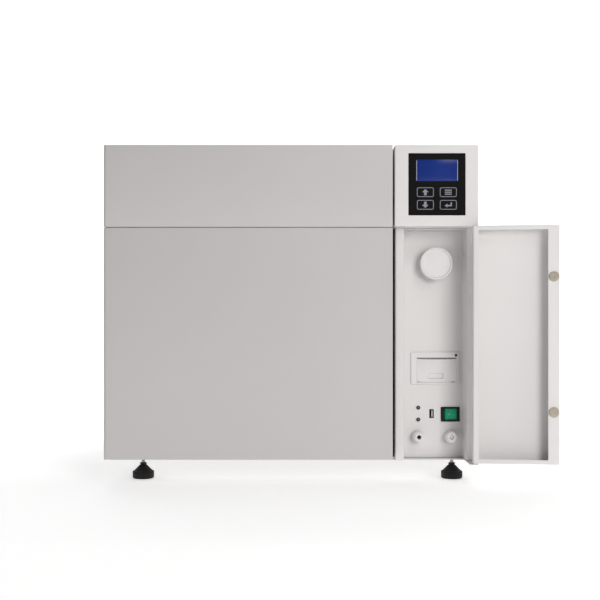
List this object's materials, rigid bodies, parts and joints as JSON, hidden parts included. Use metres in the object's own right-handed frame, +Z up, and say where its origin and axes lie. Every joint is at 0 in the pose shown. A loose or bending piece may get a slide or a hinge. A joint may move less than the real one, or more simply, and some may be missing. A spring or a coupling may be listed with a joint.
{
  "type": "benchtop autoclave",
  "caption": "Bench steam autoclave with a side-hung main door over a round chamber, a control head and a service compartment behind a narrow door.",
  "frame": {"origin": "on the table, under the middle of the part's box with the service door open", "axes": "+X to the right seen from the front, +Y from the front to the back, +Z up"},
  "size_m": [0.7454, 0.7398, 0.5614],
  "materials": {
    "white_paint": "fine satin powder coat",
    "door_paint": "fine satin powder coat",
    "black_plastic": "fine moulded texture",
    "keypad_film": "satin printed film",
    "white_plastic": "satin moulded",
    "grey_plastic": "moulded",
    "stainless_steel": "brushed",
    "silicone": "matt",
    "display_blue": "backlit window",
    "green_lens": "lit translucent",
    "brass": "machined",
    "circuit_board": "solder mask",
    "thermal_paper": "smooth paper",
    "lagging": "glass cloth",
    "magnet_face": "nickel plate, dulled"
  },
  "bodies": {
    "cabinet": {"base_plate": "white_paint", "cabinet_cover": "white_paint", "rear_panel": "white_paint", "front_frame": "white_paint", "chamber_cradle": "stainless_steel", "pressure_chamber": "stainless_steel", "insulation_jacket": "lagging", "tray_rack": "stainless_steel", "tray_upper": "stainless_steel", "tray_middle": "stainless_steel", "tray_lower": "stainless_steel", "hinge_bracket_upper": "stainless_steel", "hinge_bracket_lower": "stainless_steel", "lock_solenoid": "grey_plastic", "control_head": "white_paint", "keypad_panel": "keypad_film", "lcd_window": "display_blue", "control_board": "circuit_board", "service_recess": "white_paint", "filter_socket": "white_plastic", "printer_body": "white_plastic", "usb_socket": "stainless_steel", "switch_frame": "black_plastic", "indicator_upper": "grey_plastic", "indicator_lower": "grey_plastic", "fill_coupler": "white_plastic", "drain_coupler": "white_plastic", "door_pivot_pin_upper": "stainless_steel", "door_pivot_pin_lower": "stainless_steel", "steam_generator": "stainless_steel", "vacuum_pump": "grey_plastic", "water_tank": "white_plastic", "power_board": "circuit_board", "power_inlet": "black_plastic", "safety_valve": "brass", "fan_frame": "black_plastic"},
    "main_door": {"main_door_cover": "door_paint", "main_door_liner": "white_plastic", "pressure_lid": "stainless_steel", "lid_gasket": "silicone"},
    "service_door": {"service_door": "white_paint", "door_magnet_upper": "magnet_face", "door_magnet_lower": "magnet_face"},
    "key_up": {"key_up": "keypad_film"},
    "key_menu": {"key_menu": "keypad_film"},
    "key_down": {"key_down": "keypad_film"},
    "key_enter": {"key_enter": "keypad_film"},
    "rocker": {"switch_rocker": "green_lens"},
    "printer_flap": {"printer_flap": "white_plastic"},
    "feed_button": {"printer_button": "black_plastic"},
    "paper_roll": {"paper_roll": "thermal_paper"},
    "air_filter": {"air_filter": "white_plastic"},
    "fill_collet": {"fill_coupler_collet": "white_plastic"},
    "drain_collet": {"drain_coupler_collet": "white_plastic"},
    "foot_front_left": {"foot_front_left": "black_plastic"},
    "foot_front_right": {"foot_front_right": "black_plastic"},
    "foot_rear_left": {"foot_rear_left": "black_plastic"},
    "foot_rear_right": {"foot_rear_right": "black_plastic"},
    "fan": {"fan_rotor": "black_plastic"},
    "lock_bolt": {"door_lock_bolt": "stainless_steel"}
  },
  "joints": [
    {"name": "main_door_hinge", "type": "hinge", "parent": "cabinet", "child": "main_door", "pos_m": [-0.36275, -0.30006, 0.305], "axis": [0, 0, -1], "range_deg": [0, 105]},
    {"name": "service_door_hinge", "type": "hinge", "parent": "cabinet", "child": "service_door", "pos_m": [0.24045, -0.32606, 0.235], "axis": [0, 0, -1], "range_deg": [-7, 173]},
    {"name": "key_up_press", "type": "slide", "parent": "cabinet", "child": "key_up", "axis": [0, 1, 0], "range_m": [0, 0.0007], "stiffness_N_per_m": 3000},
    {"name": "key_menu_press", "type": "slide", "parent": "cabinet", "child": "key_menu", "axis": [0, 1, 0], "range_m": [0, 0.0007], "stiffness_N_per_m": 3000},
    {"name": "key_down_press", "type": "slide", "parent": "cabinet", "child": "key_down", "axis": [0, 1, 0], "range_m": [0, 0.0007], "stiffness_N_per_m": 3000},
    {"name": "key_enter_press", "type": "slide", "parent": "cabinet", "child": "key_enter", "axis": [0, 1, 0], "range_m": [0, 0.0007], "stiffness_N_per_m": 3000},
    {"name": "rocker_tilt", "type": "hinge", "parent": "cabinet", "child": "rocker", "pos_m": [0.20915, -0.24626, 0.1112], "axis": [0, 0, -1], "range_deg": [0, 14]},
    {"name": "printer_flap_hinge", "type": "hinge", "parent": "cabinet", "child": "printer_flap", "pos_m": [0.18545, -0.25716, 0.1676], "axis": [1, 0, 0], "range_deg": [0, 90]},
    {"name": "feed_button_press", "type": "slide", "parent": "cabinet", "child": "feed_button", "axis": [0, 1, 0], "range_m": [0, 0.0012], "stiffness_N_per_m": 1000},
    {"name": "paper_roll_spin", "type": "hinge", "parent": "cabinet", "child": "paper_roll", "pos_m": [0.18545, -0.23406, 0.1871], "axis": [1, 0, 0], "continuous": true},
    {"name": "air_filter_unscrew", "type": "hinge", "parent": "cabinet", "child": "air_filter", "pos_m": [0.18195, -0.27006, 0.3688], "axis": [0, -1, 0], "range_deg": [0, 330]},
    {"name": "fill_collet_press", "type": "slide", "parent": "cabinet", "child": "fill_collet", "axis": [0, 1, 0], "range_m": [0, 0.0012], "stiffness_N_per_m": 2000},
    {"name": "drain_collet_press", "type": "slide", "parent": "cabinet", "child": "drain_collet", "axis": [0, 1, 0], "range_m": [0, 0.0012], "stiffness_N_per_m": 2000},
    {"name": "foot_front_left_level", "type": "slide", "parent": "cabinet", "child": "foot_front_left", "axis": [0, 0, -1], "range_m": [-0.002, 0.006]},
    {"name": "foot_front_right_level", "type": "slide", "parent": "cabinet", "child": "foot_front_right", "axis": [0, 0, -1], "range_m": [-0.002, 0.006]},
    {"name": "foot_rear_left_level", "type": "slide", "parent": "cabinet", "child": "foot_rear_left", "axis": [0, 0, -1], "range_m": [-0.002, 0.006]},
    {"name": "foot_rear_right_level", "type": "slide", "parent": "cabinet", "child": "foot_rear_right", "axis": [0, 0, -1], "range_m": [-0.002, 0.006]},
    {"name": "fan_spin", "type": "hinge", "parent": "cabinet", "child": "fan", "pos_m": [0.12725, 0.34494, 0.42], "axis": [0, 1, 0], "continuous": true},
    {"name": "lock_bolt_throw", "type": "slide", "parent": "cabinet", "child": "lock_bolt", "axis": [0, -1, 0], "range_m": [0, 0.012]}
  ]
}
